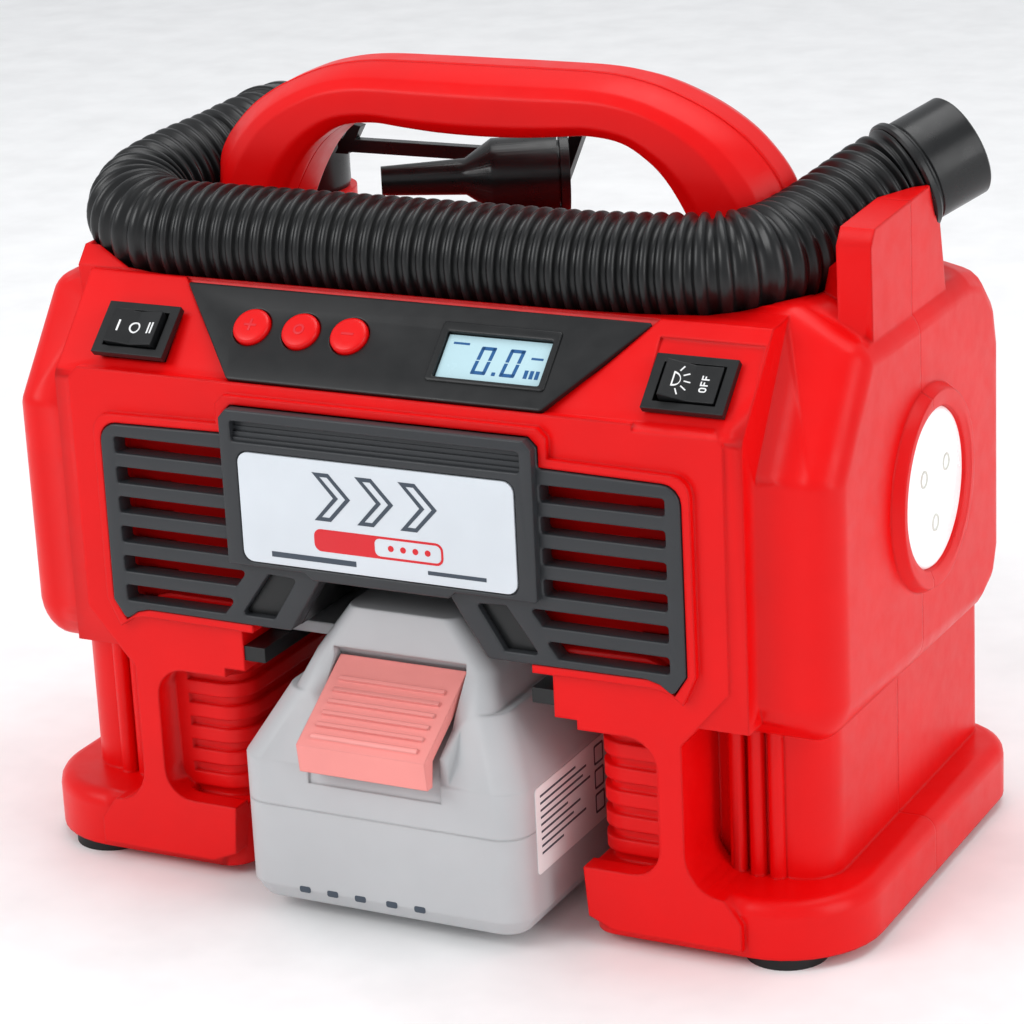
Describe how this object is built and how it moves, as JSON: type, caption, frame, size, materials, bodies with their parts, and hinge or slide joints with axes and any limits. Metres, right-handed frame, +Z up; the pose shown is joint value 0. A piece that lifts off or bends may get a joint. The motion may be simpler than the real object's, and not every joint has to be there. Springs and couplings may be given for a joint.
{
  "type": "cordless air compressor and inflator",
  "caption": "Cordless twin-mode air inflator with a sliding battery pack, corrugated hose, control deck, side lamp and arched carrying handle.",
  "frame": {"origin": "on the floor, under the middle of the object's footprint without the hose", "axes": "+X to the object's right as seen from its control side, +Y to its back, +Z up"},
  "size_m": [0.241, 0.152, 0.2062],
  "materials": {
    "red_shell": "satin, fine mould texture",
    "charcoal_trim": "satin",
    "black_plastic": "satin",
    "label_film": "silver film with a fine sparkle",
    "display_glass": "clear over pale blue",
    "circuit_board": "matte",
    "red_button": "satin",
    "lamp_diffuser": "milky",
    "lamp_parts": "satin",
    "foot_rubber": "matte",
    "screw_steel": "zinc plated",
    "hose_plastic": "satin",
    "nozzle_plastic": "satin",
    "brass_fitting": "machined",
    "pack_shell": "satin",
    "latch_plastic": "satin",
    "pack_cells": "film over metal",
    "contact_copper": "bright",
    "sticker": "matte",
    "motor_steel": "satin",
    "pump_alloy": "cast",
    "gear_plastic": "satin",
    "soft_tube": "satin"
  },
  "bodies": {
    "body": {"front_housing": "red_shell", "rear_housing": "red_shell", "handle_front": "red_shell", "handle_rear": "red_shell", "louvre_panel": "charcoal_trim", "label_plate": "label_film", "bay_liner": "black_plastic", "bay_rails": "black_plastic", "terminal_block": "black_plastic", "control_panel": "black_plastic", "display_module": "display_glass", "display_board": "circuit_board", "left_switch_body": "black_plastic", "right_switch_body": "black_plastic", "lamp_lens": "lamp_diffuser", "lamp_board": "lamp_parts", "rubber_feet": "foot_rubber", "housing_screws": "screw_steel", "foot_screws": "screw_steel", "hose": "hose_plastic", "hose_end_collar": "nozzle_plastic", "hose_port_collar": "nozzle_plastic", "hose_port": "nozzle_plastic", "nozzle_rack": "nozzle_plastic", "air_outlet": "brass_fitting", "air_line": "soft_tube", "pump_motor": "motor_steel", "pump_frame": "pump_alloy", "pump_cylinder": "pump_alloy", "cylinder_head": "pump_alloy", "blower_motor": "motor_steel", "blower_scroll": "black_plastic"},
    "battery": {"battery_lower_case": "pack_shell", "battery_upper_case": "pack_shell", "battery_cells": "pack_cells", "battery_contacts": "contact_copper", "battery_sticker": "sticker"},
    "latch": {"battery_latch": "latch_plastic"},
    "plus_button": {"button_plus": "red_button"},
    "mode_button": {"button_mode": "red_button"},
    "minus_button": {"button_minus": "red_button"},
    "left_paddle": {"left_rocker": "black_plastic"},
    "right_paddle": {"right_rocker": "black_plastic"},
    "cone": {"nozzle_cone": "nozzle_plastic"},
    "crank": {"pump_gear": "gear_plastic"},
    "pinion": {"pump_pinion": "brass_fitting"},
    "plunger": {"piston": "pump_alloy", "connecting_rod": "pump_alloy"},
    "fan": {"blower_fan": "gear_plastic"}
  },
  "joints": [
    {"name": "battery_slide", "type": "slide", "parent": "body", "child": "battery", "axis": [0, -1, 0], "range_m": [0, 0.12]},
    {"name": "latch_press", "type": "slide", "parent": "battery", "child": "latch", "axis": [0, 0.529, -0.8486], "range_m": [0, 0.0035], "stiffness_N_per_m": 1500, "springref_m": -0.0005},
    {"name": "plus_press", "type": "slide", "parent": "body", "child": "plus_button", "axis": [0, 0.682, -0.7314], "range_m": [0, 0.0015], "stiffness_N_per_m": 800, "springref_m": -0.0004},
    {"name": "mode_press", "type": "slide", "parent": "body", "child": "mode_button", "axis": [0, 0.682, -0.7314], "range_m": [0, 0.0015], "stiffness_N_per_m": 800, "springref_m": -0.0004},
    {"name": "minus_press", "type": "slide", "parent": "body", "child": "minus_button", "axis": [0, 0.682, -0.7314], "range_m": [0, 0.0015], "stiffness_N_per_m": 800, "springref_m": -0.0004},
    {"name": "left_rocker_tilt", "type": "hinge", "parent": "body", "child": "left_paddle", "pos_m": [-0.0733, -0.04677, 0.144], "axis": [0, 0.7314, 0.682], "range_deg": [-12, 12]},
    {"name": "right_rocker_tilt", "type": "hinge", "parent": "body", "child": "right_paddle", "pos_m": [0.079, -0.04566, 0.14339], "axis": [0, 0.7314, 0.682], "range_deg": [-18, 0]},
    {"name": "cone_slide", "type": "slide", "parent": "body", "child": "cone", "axis": [-0.8746, -0.4848, 0], "range_m": [0, 0.015]},
    {"name": "crank_spin", "type": "hinge", "parent": "body", "child": "crank", "pos_m": [0.084, 0.026, 0.118], "axis": [0, 1, 0], "continuous": true},
    {"name": "pinion_spin", "type": "hinge", "parent": "body", "child": "pinion", "pos_m": [0.084, 0.026, 0.093], "axis": [0, 1, 0], "continuous": true},
    {"name": "piston_stroke", "type": "slide", "parent": "body", "child": "plunger", "axis": [1, 0, 0], "range_m": [0, 0.016]},
    {"name": "fan_spin", "type": "hinge", "parent": "body", "child": "fan", "pos_m": [-0.078, 0.026, 0.108], "axis": [0, 1, 0], "continuous": true}
  ],
  "couplings": [
    {"joint": "pinion_spin", "follows": "crank_spin", "ratio": -4}
  ]
}
